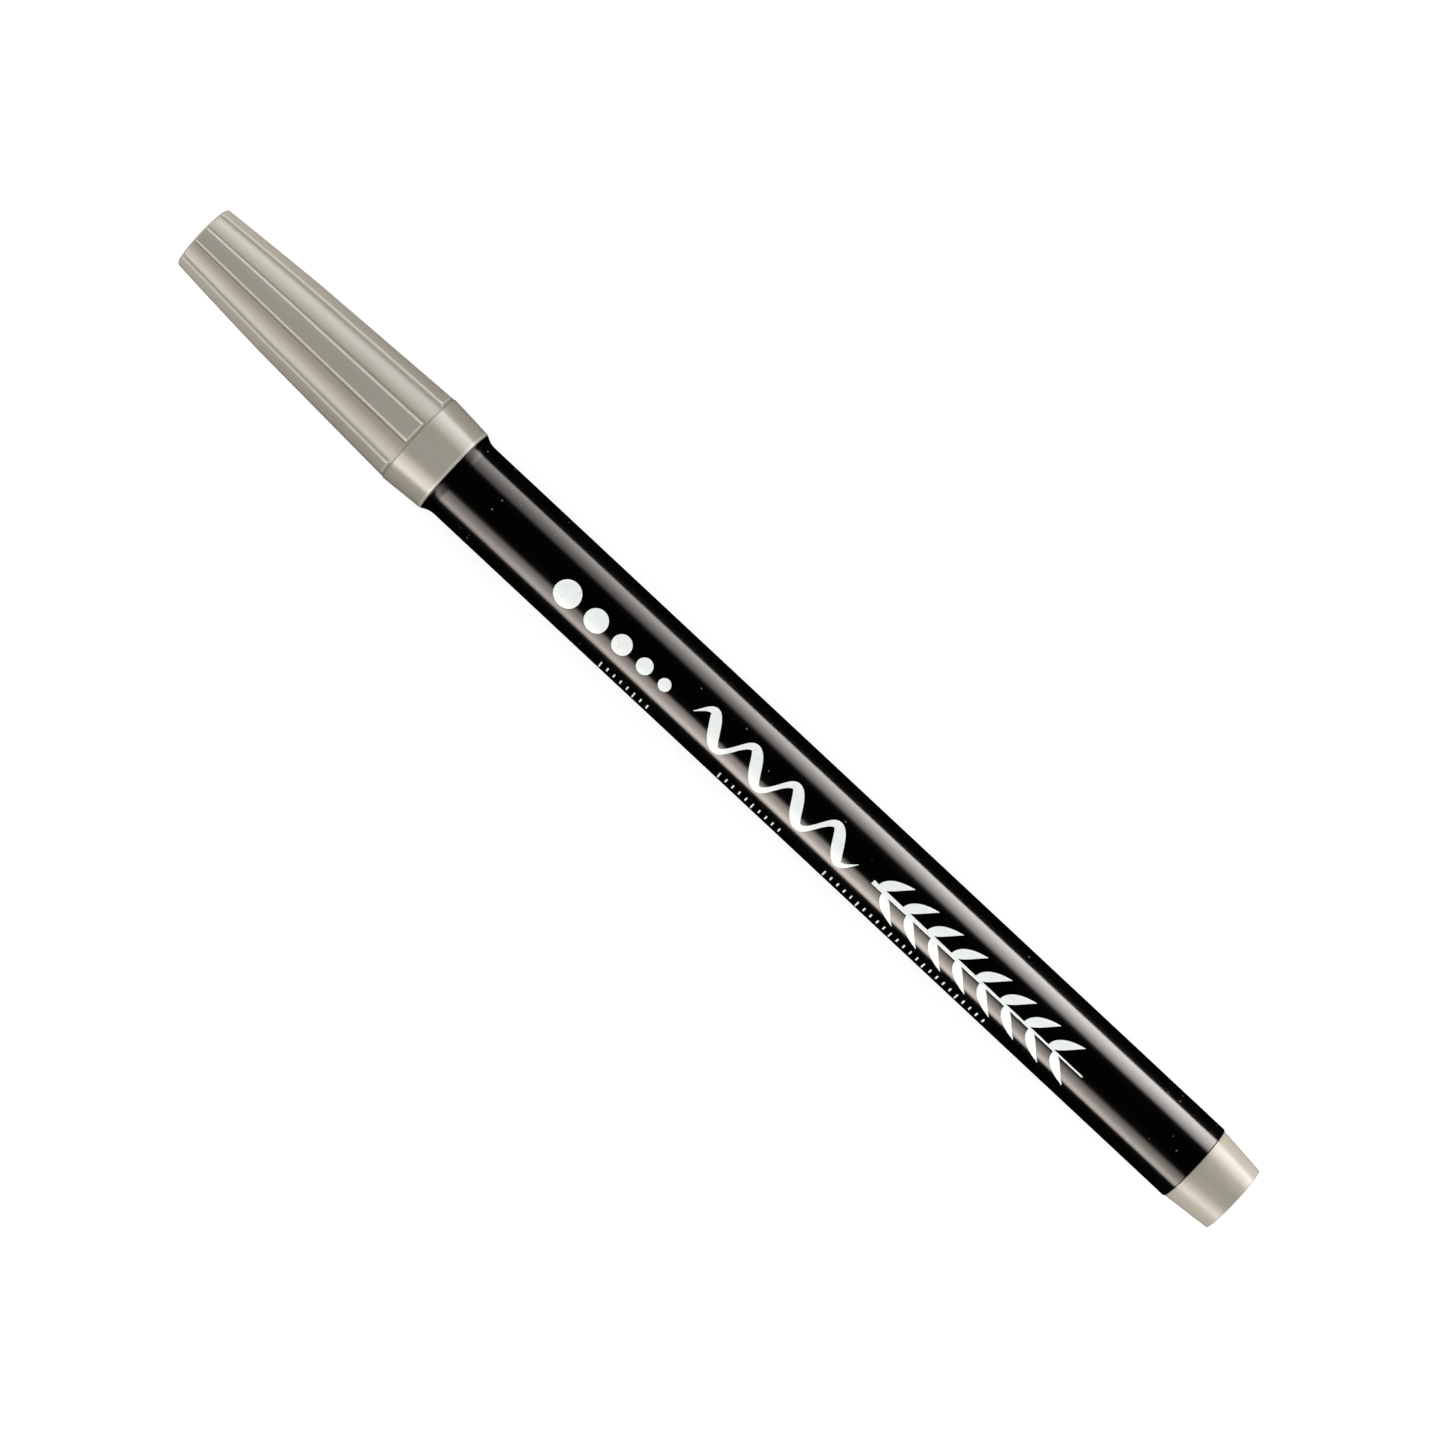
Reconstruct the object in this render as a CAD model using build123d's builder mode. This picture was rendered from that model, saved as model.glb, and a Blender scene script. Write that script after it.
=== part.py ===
"""Felt tip marker with a brush nib: pull-off cap, barrel, nose, nib, ink system and end plug.

Millimetres. The marker lies along X with its cap towards -X, on the plane Z = 0.
X = 0 is the middle of its length.
"""

import os

from build123d import *

# ---- Driving dimensions ----

OVERALL_LENGTH = 141.0

# Cap, with lengths measured from its closed end
CAP_LENGTH = 34.5
CAP_END_RADIUS = 3.9  # over the ribs
CAP_BEND = 12.0  # the flank is an arc as far as this, then straight
CAP_BEND_RADIUS = 4.73  # over the ribs
CAP_BULGE = 0.03  # how far the arc stands out from its chord
CAP_END_ROUND = 0.3
CAP_RIM_RADIUS = 4.98
CAP_RIM_ROUND = 0.12
CAP_END_WALL = 1.3
CAP_POCKET_RADIUS = 2.9  # hollow behind the liner
COLLAR_START = 29.7
COLLAR_RADIUS = 5.32
RIB_END = 29.45
RIB_END_RADIUS = 5.445
RIB_COUNT = 6
RIB_WIDTH_DEG = 31.4
RIB_TURN_DEG = 1.75  # how far the top rib is turned from straight up towards +Y
RIB_HEIGHT = 0.2
RIB_NOSE = 0.35  # length of the slope that starts each rib

# Liner, the inner cup of the cap
LINER_BACK = 4.2  # from the cap's closed end to the liner's
LINER_LENGTH = 20.1
LINER_WALL = 0.4
LINER_CHAMFER = 0.2

# Barrel
BARREL_RADIUS = 4.49
BARREL_REAR_X = 65.2
BARREL_EDGE_ROUND = 0.1
BORE_RADIUS = 3.6
SHOULDER_RADIUS = 4.94
SHOULDER_LENGTH = 1.4
NECK_LENGTH = 8.9
NECK_RADIUS = 4.12
NECK_BORE_RADIUS = 3.45
NECK_CHAMFER = 0.2
BEAD_RADIUS = 4.17  # the low ring round the neck that the cap closes over
BEAD_LENGTH = 0.9
BEAD_FROM_SHOULDER = 3.5  # from the shoulder to the bead's middle
SPLINE_COUNT = 4  # low ribs in the bore that keep the reservoir centred
SPLINE_WIDTH = 0.6
SPLINE_END_GAP = 1.0

# Nib holder, the nose in front of the neck
HOLDER_SPIGOT_LENGTH = 8.0
HOLDER_FLANGE_RADIUS = 3.85
HOLDER_FLANGE_LENGTH = 1.0
HOLDER_SEAT_RADIUS = 3.0
HOLDER_SEAT_LENGTH = 4.3
HOLDER_CONE_LENGTH = 2.1
HOLDER_TIP_RADIUS = 2.2
HOLDER_EDGE_ROUND = 0.25
HOLDER_CUP_RADIUS = 2.6
HOLDER_CUP_DEPTH = 1.5
VENT_COUNT = 3
VENT_WIDTH = 0.5
VENT_DEPTH = 0.3

# Nib
NIB_RADIUS = 1.6
NIB_BELLY_RADIUS = 1.7
NIB_BELLY_SHARE = 0.2  # of the exposed length, from the nose
NIB_TAPER_RADIUS = 1.41
NIB_TAPER_SHARE = 0.52
NIB_EXPOSED_LENGTH = 8.4
NIB_POINT_RADIUS = 0.16
NIB_TAIL_LENGTH = 4.5  # inside the reservoir
NIB_TAIL_TAPER = 1.2
NIB_TAIL_RADIUS = 0.9

# Ink system
CORE_RADIUS = 2.95
FILM_THICKNESS = 0.1
BREATHER_RADIUS = 0.5
BREATHER_BORE_RADIUS = 0.32
BREATHER_END_GAP = 1.5

# End plug
PLUG_HEAD_RADIUS = 4.38
PLUG_END_RADIUS = 3.88
PLUG_END_ROUND = 0.1
PLUG_END_WALL = 1.6
PLUG_SPIGOT_LENGTH = 7.0
PLUG_POCKET_RADIUS = 2.7
PLUG_LEAD_IN = 0.3

# Fits
RUNNING_CLEARANCE = 0.05  # radial, between the liner and the nose
BEAD_CLEARANCE = 0.03  # radial, between the cap's bore and the neck's bead
PRESS_ALLOWANCE = 0.02  # radial, between pieces that are pressed together
SEAT_GAP = 0.05  # between the cap's rim and the barrel's shoulder

# ---- Places along the pen ----

CAP_END_X = -OVERALL_LENGTH / 2
PLUG_END_X = OVERALL_LENGTH / 2
CAP_RIM_X = CAP_END_X + CAP_LENGTH
SHOULDER_X = CAP_RIM_X + SEAT_GAP
NECK_FRONT_X = SHOULDER_X - NECK_LENGTH
FLANGE_FRONT_X = NECK_FRONT_X - HOLDER_FLANGE_LENGTH
SEAT_FRONT_X = FLANGE_FRONT_X - HOLDER_SEAT_LENGTH
NOSE_FRONT_X = SEAT_FRONT_X - HOLDER_CONE_LENGTH
NIB_POINT_X = NOSE_FRONT_X - NIB_EXPOSED_LENGTH
HOLDER_REAR_X = NECK_FRONT_X + HOLDER_SPIGOT_LENGTH
NIB_REAR_X = HOLDER_REAR_X + NIB_TAIL_LENGTH
PLUG_FRONT_X = BARREL_REAR_X - PLUG_SPIGOT_LENGTH
LINER_BACK_X = CAP_END_X + LINER_BACK
LINER_MOUTH_X = LINER_BACK_X + LINER_LENGTH

# ---- Radii ----

AXIS_HEIGHT = RIB_END_RADIUS
CAP_BORE_RADIUS = BEAD_RADIUS + BEAD_CLEARANCE
LINER_BORE_RADIUS = HOLDER_SEAT_RADIUS + RUNNING_CLEARANCE
LINER_RADIUS = LINER_BORE_RADIUS + LINER_WALL
LINER_SEAT_RADIUS = LINER_RADIUS + PRESS_ALLOWANCE
NIB_BORE_RADIUS = NIB_RADIUS + PRESS_ALLOWANCE
FILM_BORE_RADIUS = CORE_RADIUS + PRESS_ALLOWANCE
FILM_RADIUS = FILM_BORE_RADIUS + FILM_THICKNESS
SPLINE_RADIUS = FILM_RADIUS + PRESS_ALLOWANCE
BREATHER_OFFSET = CORE_RADIUS - BREATHER_RADIUS - PRESS_ALLOWANCE

# ---- Planes ----

PEN_AXIS = Axis((0, 0, AXIS_HEIGHT), (1, 0, 0))
# Half profiles are drawn here: local X along the pen, local Y out from its axis
PROFILE = Plane(origin=(0, 0, AXIS_HEIGHT), x_dir=(1, 0, 0), z_dir=(0, -1, 0))


def turned_profile(degrees):
    """The profile plane turned about the pen's axis, from straight up towards +Y."""
    return PROFILE.rotated((-degrees, 0, 0))


def cross_section(x):
    """Plane across the pen at x, facing +X: local X is +Y, and local Y is +Z."""
    return Plane(origin=(x, 0, AXIS_HEIGHT), x_dir=(0, 1, 0), z_dir=(1, 0, 0))


def cap_flank(depth):
    """Four points of the cap's flank, this far below the tops of the ribs.

    The first three lie on its arc, and its straight stretch joins the last two.
    """
    start = (CAP_END_X, CAP_END_RADIUS - depth)
    bend = (CAP_END_X + CAP_BEND, CAP_BEND_RADIUS - depth)
    middle = ((start[0] + bend[0]) / 2, (start[1] + bend[1]) / 2 + CAP_BULGE)
    end = (CAP_END_X + RIB_END, RIB_END_RADIUS - depth)
    return start, middle, bend, end


# ---- Cap shell: closed, tapered, with raised ribs and a plain collar ----

with BuildPart() as cap_shell:
    start, middle, bend, end = cap_flank(RIB_HEIGHT)
    with BuildSketch(PROFILE):
        with BuildLine():
            ThreePointArc(start, middle, bend)
            Polyline(
                bend,
                end,
                (CAP_END_X + COLLAR_START, COLLAR_RADIUS),
                (CAP_RIM_X, CAP_RIM_RADIUS),
                (CAP_RIM_X, CAP_BORE_RADIUS),
                (LINER_MOUTH_X, CAP_BORE_RADIUS),
                (LINER_MOUTH_X, LINER_SEAT_RADIUS),
                (LINER_BACK_X, LINER_SEAT_RADIUS),
                (LINER_BACK_X, CAP_POCKET_RADIUS),
                (CAP_END_X + CAP_END_WALL, CAP_POCKET_RADIUS),
                (CAP_END_X + CAP_END_WALL, 0),
                (CAP_END_X, 0),
                start,
            )
        make_face()
    revolve(axis=PEN_AXIS)
    outer_edges = edges().filter_by(GeomType.CIRCLE).group_by(Axis.X)
    fillet(outer_edges[0], CAP_END_ROUND)
    rim_edges = edges().filter_by(GeomType.CIRCLE).group_by(Axis.X)
    fillet(rim_edges[-1].sort_by(SortBy.RADIUS)[-1], CAP_RIM_ROUND)

    # Each rib is a stretch of a ring that reaches down into the wall, its nose cut to a slope
    start, middle, bend, end = cap_flank(0)
    root = 2 * RIB_HEIGHT
    for rib in range(RIB_COUNT):
        far_side = RIB_TURN_DEG + rib * 360 / RIB_COUNT + RIB_WIDTH_DEG / 2
        with BuildSketch(turned_profile(far_side)):
            with BuildLine():
                ThreePointArc(start, middle, bend)
                Polyline(
                    bend,
                    end,
                    (end[0], end[1] - root),
                    (bend[0], bend[1] - root),
                    (start[0], start[1] - root),
                    start,
                )
            make_face()
            with BuildLine():
                Polyline(
                    (start[0], start[1] + root),
                    (start[0], start[1] - root),
                    (start[0] + RIB_NOSE, start[1] + root),
                    close=True,
                )
            make_face(mode=Mode.SUBTRACT)
        revolve(axis=PEN_AXIS, revolution_arc=RIB_WIDTH_DEG)
cap_shell.part.label = "cap_shell"

# ---- Cap liner: a thin cup that seals round the nose ----

with BuildPart() as cap_liner:
    with BuildSketch(PROFILE):
        with BuildLine():
            Polyline(
                (LINER_BACK_X, 0),
                (LINER_BACK_X, LINER_RADIUS),
                (LINER_MOUTH_X, LINER_RADIUS),
                (LINER_MOUTH_X, LINER_BORE_RADIUS + LINER_CHAMFER),
                (LINER_MOUTH_X - LINER_CHAMFER, LINER_BORE_RADIUS),
                (LINER_BACK_X + LINER_WALL, LINER_BORE_RADIUS),
                (LINER_BACK_X + LINER_WALL, 0),
                close=True,
            )
        make_face()
    revolve(axis=PEN_AXIS)
cap_liner.part.label = "cap_liner"

# ---- Barrel: tube, neck, flared shoulder, and splines in the bore ----

with BuildPart() as barrel:
    flare_end = (SHOULDER_X + SHOULDER_LENGTH, BARREL_RADIUS)
    flare_start = (SHOULDER_X, SHOULDER_RADIUS)
    bead_x = SHOULDER_X - BEAD_FROM_SHOULDER
    bead_rear = (bead_x + BEAD_LENGTH / 2, NECK_RADIUS)
    bead_front = (bead_x - BEAD_LENGTH / 2, NECK_RADIUS)
    with BuildSketch(PROFILE):
        with BuildLine():
            TangentArc(flare_end, flare_start, tangent=(-1, 0))
            Polyline(flare_start, (SHOULDER_X, NECK_RADIUS), bead_rear)
            ThreePointArc(bead_rear, (bead_x, BEAD_RADIUS), bead_front)
            Polyline(
                bead_front,
                (NECK_FRONT_X + NECK_CHAMFER, NECK_RADIUS),
                (NECK_FRONT_X, NECK_RADIUS - NECK_CHAMFER),
                (NECK_FRONT_X, NECK_BORE_RADIUS),
                (SHOULDER_X, NECK_BORE_RADIUS),
                (SHOULDER_X, BORE_RADIUS),
                (BARREL_REAR_X, BORE_RADIUS),
                (BARREL_REAR_X, BARREL_RADIUS),
                flare_end,
            )
        make_face()
    revolve(axis=PEN_AXIS)
    rear_edges = edges().filter_by(GeomType.CIRCLE).group_by(Axis.X)[-1]
    fillet(rear_edges.sort_by(SortBy.RADIUS)[-1], BARREL_EDGE_ROUND)

    spline_length = PLUG_FRONT_X - SHOULDER_X - 2 * SPLINE_END_GAP
    spline_root = (BORE_RADIUS + BARREL_RADIUS) / 2
    with BuildSketch(cross_section(SHOULDER_X + SPLINE_END_GAP)):
        with PolarLocations(SPLINE_RADIUS, SPLINE_COUNT, start_angle=45):
            Rectangle(
                spline_root - SPLINE_RADIUS,
                SPLINE_WIDTH,
                align=(Align.MIN, Align.CENTER),
            )
    extrude(amount=spline_length)
barrel.part.label = "barrel"

# ---- Nib holder: nose with a nib bore, vent grooves and a spigot for the neck ----

with BuildPart() as nib_holder:
    spigot_radius = NECK_BORE_RADIUS - PRESS_ALLOWANCE
    with BuildSketch(PROFILE):
        with BuildLine():
            Polyline(
                (NOSE_FRONT_X, NIB_BORE_RADIUS),
                (NOSE_FRONT_X, HOLDER_TIP_RADIUS),
                (SEAT_FRONT_X, HOLDER_SEAT_RADIUS),
                (FLANGE_FRONT_X, HOLDER_SEAT_RADIUS),
                (FLANGE_FRONT_X, HOLDER_FLANGE_RADIUS),
                (NECK_FRONT_X, HOLDER_FLANGE_RADIUS),
                (NECK_FRONT_X, spigot_radius),
                (HOLDER_REAR_X, spigot_radius),
                (HOLDER_REAR_X, HOLDER_CUP_RADIUS),
                (HOLDER_REAR_X - HOLDER_CUP_DEPTH, NIB_BORE_RADIUS),
                close=True,
            )
        make_face()
    revolve(axis=PEN_AXIS)
    front_edges = edges().filter_by(GeomType.CIRCLE).group_by(Axis.X)[0]
    fillet(front_edges.sort_by(SortBy.RADIUS)[-1], HOLDER_EDGE_ROUND)

    with BuildSketch(cross_section(NOSE_FRONT_X)):
        with PolarLocations(NIB_BORE_RADIUS - VENT_DEPTH, VENT_COUNT, start_angle=90):
            Rectangle(2 * VENT_DEPTH, VENT_WIDTH, align=(Align.MIN, Align.CENTER))
    extrude(amount=HOLDER_REAR_X - NOSE_FRONT_X, mode=Mode.SUBTRACT)
nib_holder.part.label = "nib_holder"

# ---- Brush nib: fibre, with a pointed ogive in front and a tapered tail ----

with BuildPart() as brush_nib:
    with BuildSketch(PROFILE):
        with BuildLine():
            point = TangentArc(
                (NIB_POINT_X, 0),
                (NIB_POINT_X + NIB_POINT_RADIUS, NIB_POINT_RADIUS),
                tangent=(0, 1),
            )
            Spline(
                point @ 1,
                (NOSE_FRONT_X - NIB_TAPER_SHARE * NIB_EXPOSED_LENGTH, NIB_TAPER_RADIUS),
                (NOSE_FRONT_X - NIB_BELLY_SHARE * NIB_EXPOSED_LENGTH, NIB_BELLY_RADIUS),
                (NOSE_FRONT_X, NIB_RADIUS),
            )
            Polyline(
                (NOSE_FRONT_X, NIB_RADIUS),
                (NIB_REAR_X - NIB_TAIL_TAPER, NIB_RADIUS),
                (NIB_REAR_X, NIB_TAIL_RADIUS),
                (NIB_REAR_X, 0),
                (NIB_POINT_X, 0),
            )
        make_face()
    revolve(axis=PEN_AXIS)
brush_nib.part.label = "brush_nib"

# ---- Ink reservoir: fibre bundle, bored for the nib and grooved for the breather ----

with BuildPart() as ink_reservoir:
    core_front_x = HOLDER_REAR_X + PRESS_ALLOWANCE
    core_length = PLUG_FRONT_X - PRESS_ALLOWANCE - core_front_x
    hole_end_x = NIB_REAR_X + PRESS_ALLOWANCE
    with BuildSketch(cross_section(core_front_x)):
        Circle(CORE_RADIUS)
        groove_radius = BREATHER_RADIUS + PRESS_ALLOWANCE
        with Locations((0, BREATHER_OFFSET)):
            Circle(groove_radius, mode=Mode.SUBTRACT)
            Rectangle(
                2 * groove_radius,
                CORE_RADIUS,
                align=(Align.CENTER, Align.MIN),
                mode=Mode.SUBTRACT,
            )
    extrude(amount=core_length)
    with BuildSketch(PROFILE):
        with BuildLine():
            Polyline(
                (core_front_x, 0),
                (core_front_x, NIB_BORE_RADIUS),
                (NIB_REAR_X - NIB_TAIL_TAPER, NIB_BORE_RADIUS),
                (hole_end_x, NIB_TAIL_RADIUS + PRESS_ALLOWANCE),
                (hole_end_x, 0),
                close=True,
            )
        make_face()
    revolve(axis=PEN_AXIS, mode=Mode.SUBTRACT)
ink_reservoir.part.label = "ink_reservoir"

# ---- Reservoir film: thin sleeve round the bundle ----

with BuildPart() as reservoir_film:
    with BuildSketch(cross_section(core_front_x)):
        Circle(FILM_RADIUS)
        Circle(FILM_BORE_RADIUS, mode=Mode.SUBTRACT)
    extrude(amount=core_length)
reservoir_film.part.label = "reservoir_film"

# ---- Breather tube: lies in the bundle's groove, under the film ----

with BuildPart() as breather_tube:
    with BuildSketch(cross_section(core_front_x)):
        with Locations((0, BREATHER_OFFSET)):
            Circle(BREATHER_RADIUS)
            Circle(BREATHER_BORE_RADIUS, mode=Mode.SUBTRACT)
    extrude(amount=core_length - BREATHER_END_GAP)
breather_tube.part.label = "breather_tube"

# ---- End plug: tapered head, and a hollow spigot pressed into the bore ----

with BuildPart() as end_plug:
    plug_radius = BORE_RADIUS - PRESS_ALLOWANCE
    with BuildSketch(PROFILE):
        with BuildLine():
            Polyline(
                (BARREL_REAR_X, plug_radius),
                (BARREL_REAR_X, PLUG_HEAD_RADIUS),
                (PLUG_END_X, PLUG_END_RADIUS),
                (PLUG_END_X, 0),
                (PLUG_END_X - PLUG_END_WALL, 0),
                (PLUG_END_X - PLUG_END_WALL, PLUG_POCKET_RADIUS),
                (PLUG_FRONT_X, PLUG_POCKET_RADIUS),
                (PLUG_FRONT_X, plug_radius - PLUG_LEAD_IN),
                (PLUG_FRONT_X + PLUG_LEAD_IN, plug_radius),
                close=True,
            )
        make_face()
    revolve(axis=PEN_AXIS)
    end_edges = edges().filter_by(GeomType.CIRCLE).group_by(Axis.X)[-1]
    fillet(end_edges, PLUG_END_ROUND)
end_plug.part.label = "end_plug"

# ---- Write each piece ----

PIECES = (
    cap_shell,
    cap_liner,
    barrel,
    nib_holder,
    brush_nib,
    ink_reservoir,
    reservoir_film,
    breather_tube,
    end_plug,
)

os.makedirs("parts", exist_ok=True)
for piece in PIECES:
    export_step(piece.part, f"parts/{piece.part.label}.step")
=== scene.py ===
"""Looks of the felt tip marker: turned shells with fine edges, brush nib, barrel print, light, camera.

Metres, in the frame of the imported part. The marker lies along X with its cap towards -X.
"""

import math

import bmesh
import bpy
from mathutils import Matrix, Vector


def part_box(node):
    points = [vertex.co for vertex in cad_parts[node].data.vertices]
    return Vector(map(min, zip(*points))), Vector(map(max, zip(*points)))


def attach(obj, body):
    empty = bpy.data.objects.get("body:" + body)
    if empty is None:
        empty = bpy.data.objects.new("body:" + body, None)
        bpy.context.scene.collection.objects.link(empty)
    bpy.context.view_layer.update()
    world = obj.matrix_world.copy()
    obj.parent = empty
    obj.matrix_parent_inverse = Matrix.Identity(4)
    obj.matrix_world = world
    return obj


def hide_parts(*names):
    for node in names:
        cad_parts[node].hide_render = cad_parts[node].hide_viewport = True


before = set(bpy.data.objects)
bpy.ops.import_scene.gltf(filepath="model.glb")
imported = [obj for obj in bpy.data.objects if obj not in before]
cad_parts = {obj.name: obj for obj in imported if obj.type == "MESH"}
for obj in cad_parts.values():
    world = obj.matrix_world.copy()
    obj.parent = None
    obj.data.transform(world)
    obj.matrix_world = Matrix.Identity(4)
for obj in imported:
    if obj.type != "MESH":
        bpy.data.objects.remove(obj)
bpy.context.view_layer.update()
MM = 0.001

# ---- Places and radii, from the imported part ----

shell_low, shell_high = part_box("cap_shell")
liner_low, liner_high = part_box("cap_liner")
barrel_low, barrel_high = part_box("barrel")
holder_low, holder_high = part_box("nib_holder")
nib_low, nib_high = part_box("brush_nib")
plug_low, plug_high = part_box("end_plug")

AXIS_HEIGHT = (barrel_low.z + barrel_high.z) / 2
CAP_END_X = shell_low.x
CAP_RIM_X = shell_high.x
NECK_FRONT_X = barrel_low.x
BARREL_REAR_X = barrel_high.x
CAP_GAP = 0.05 * MM  # between the closed cap and the barrel's shoulder
SHOULDER_X = CAP_RIM_X + CAP_GAP
NOSE_FRONT_X = holder_low.x
HOLDER_REAR_X = holder_high.x
NIB_POINT_X = nib_low.x
NIB_REAR_X = nib_high.x
PLUG_FRONT_X = plug_low.x
PLUG_END_X = plug_high.x
LINER_BACK_X = liner_low.x
LINER_MOUTH_X = liner_high.x

RIB_TOP_RADIUS = (shell_high.z - shell_low.z) / 2
BARREL_RADIUS = 4.49 * MM
BARREL_BORE_RADIUS = 3.6 * MM
SHOULDER_RADIUS = (barrel_high.z - barrel_low.z) / 2
LINER_SEAT_RADIUS = 3.47 * MM

# ---- The cap's ribs, with distances from its closed end, and the plug's parting line ----

RIB_COUNT = 6
RIB_HALF_WIDTH = math.radians(14.9)
RIB_TURN = math.radians(1.75)
RIB_HEIGHT = 0.2 * MM
RIB_MEAN_RADIUS = 4.8 * MM  # where the width of a rib's edge is measured
RIB_NOSE = 0.32 * MM
RIB_TAIL = 0.22 * MM
RIB_EDGE_RADIUS = 0.5 * MM
RIB_FOOT_RADIUS = 0.12 * MM
RIB_EDGE_SLOPE = math.radians(38)

FLANK_LENGTH = 29.45 * MM
FLANK_BEND = 12.0 * MM
FLANK_BEND_RADIUS = 4.73 * MM
FLANK_END_RADIUS = 3.9 * MM
FLANK_BULGE = 0.03 * MM
COLLAR_START = 29.7 * MM

PLUG_RING = 0.9 * MM  # from the plug's end to a faint parting line round its head

# ---- Turned meshes ----

SEGMENTS = 192
ARC_STEPS = 5
SUPPORT = 0.03 * MM  # a ring this close to each rounded corner keeps the shading of flat faces flat
ON_AXIS = 1e-7  # a point nearer to the axis than this is a pole


def even_columns(count=SEGMENTS):
    """Directions round the axis as (angle, share of the lift), evenly spaced and not lifted."""
    return [(2 * math.pi * i / count, 0.0) for i in range(count)]


def lifted_columns(centres, half_width, edge, spacing):
    """Directions for stretches round the axis that stand up from the rest.

    centres are their middle angles, and half_width is from a middle to the foot. edge lists
    (angle in from the foot, share of the lift) from foot to top.
    """
    columns = []
    turn = 2 * math.pi
    centres = sorted(centres)
    for i, centre in enumerate(centres):
        following = centres[i + 1] if i + 1 < len(centres) else centres[0] + turn
        rising = [(centre - half_width + step, share) for step, share in edge]
        falling = [(centre + half_width - step, share) for step, share in reversed(edge)]
        columns += rising
        columns += evenly_between(rising[-1][0], falling[0][0], spacing, 1.0)
        columns += falling
        columns += evenly_between(falling[-1][0], following - half_width + edge[0][0], spacing, 0.0)
    return columns


def evenly_between(start, end, spacing, share):
    """Directions strictly between two angles, no further apart than spacing."""
    steps = max(1, math.ceil((end - start) / spacing))
    return [(start + (end - start) * i / steps, share) for i in range(1, steps)]


def rounded(corners):
    """An outline of (x, radius, rounding) corners, each turned into a small arc with support points."""
    outline = []
    for i, (x, r, rounding) in enumerate(corners):
        if rounding == 0 or i in (0, len(corners) - 1):
            outline.append((x, r))
            continue
        here = Vector((x, r))
        back = Vector(corners[i - 1][:2]) - here
        ahead = Vector(corners[i + 1][:2]) - here
        half_turn = back.angle(ahead) / 2
        reach = rounding / math.tan(half_turn)
        first = here + back.normalized() * reach
        last = here + ahead.normalized() * reach
        inward = (back.normalized() + ahead.normalized()).normalized()
        middle = here + inward * rounding / math.sin(half_turn)
        outline.append(tuple(first + back.normalized() * min(SUPPORT, reach)))
        sweep = (first - middle).angle_signed(last - middle)
        for step in range(ARC_STEPS + 1):
            turn = Matrix.Rotation(-sweep * step / ARC_STEPS, 2)
            outline.append(tuple(middle + turn @ (first - middle)))
        outline.append(tuple(last + ahead.normalized() * min(SUPPORT, reach)))
    return outline


def filled_in(outline, spacing):
    """The outline with extra points on its long runs, so that faces stay short."""
    full = [outline[0]]
    for end in outline[1:]:
        start = full[-1]
        length = math.dist(start[:2], end[:2])
        steps = max(1, math.ceil(length / spacing))
        for i in range(1, steps + 1):
            full.append(tuple(a + (b - a) * i / steps for a, b in zip(start, end)))
    return full


def between(p, q, r, s, t):
    """A smooth curve's value at a share t of the way from q to r, with p before them and s after."""
    square = (2 * p - 5 * q + 4 * r - s) * t**2
    cube = (3 * q - p - 3 * r + s) * t**3
    return (2 * q + (r - p) * t + square + cube) / 2


def smooth_line(points, steps):
    """A smooth curve through the points, in this many steps from each to the next."""
    line = [points[0]]
    with_ends = [points[0], *points, points[-1]]
    for four in zip(with_ends, with_ends[1:], with_ends[2:], with_ends[3:]):
        for step in range(1, steps + 1):
            line.append(tuple(between(*values, step / steps) for values in zip(*four)))
    return line


def turned(name, outline, columns=None, lift=0.0):
    """Turns an outline of (x, radius[, share of the lift]) points about the marker's axis.

    A point at radius 0 is a pole. An outline that doesn't start on the axis closes on itself.
    """
    columns = columns or even_columns()
    mesh = bpy.data.meshes.new(name)
    shape = bmesh.new()
    rings = []
    for point in outline:
        x, radius = point[:2]
        share = point[2] if len(point) > 2 else 0.0
        if radius < ON_AXIS:
            rings.append([shape.verts.new((x, 0, AXIS_HEIGHT))])
            continue
        ring = []
        for angle, raised in columns:
            r = radius + lift * share * raised
            ring.append(shape.verts.new((x, r * math.sin(angle), AXIS_HEIGHT + r * math.cos(angle))))
        rings.append(ring)
    pairs = list(zip(rings, rings[1:]))
    if len(rings[0]) > 1:
        pairs.append((rings[-1], rings[0]))
    for one, two in pairs:
        for i in range(len(columns)):
            j = (i + 1) % len(columns)
            corners = [one[i % len(one)], one[j % len(one)], two[j % len(two)], two[i % len(two)]]
            shape.faces.new(list(dict.fromkeys(corners)))
    bmesh.ops.recalc_face_normals(shape, faces=shape.faces)
    shape.to_mesh(mesh)
    shape.free()
    mesh.shade_smooth()
    piece = bpy.data.objects.new(name, mesh)
    bpy.context.scene.collection.objects.link(piece)
    return piece


def place(piece, body, slot, material, *nodes):
    """Gives a piece its material and body, and hides the CAD nodes that it stands for. slot is not used."""
    piece.data.materials.append(material)
    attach(piece, body)
    if nodes:
        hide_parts(*nodes)
    return piece


# ---- Materials ----


def node(tree, kind, inputs=None, **settings):
    """Adds a node. inputs gives a number, a colour or another node's output for each named input."""
    made = tree.nodes.new(kind)
    for name, value in settings.items():
        setattr(made, name, value)
    for name, value in (inputs or {}).items():
        if isinstance(value, bpy.types.NodeSocket):
            tree.links.new(value, made.inputs[name])
        else:
            made.inputs[name].default_value = value
    return made


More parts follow.
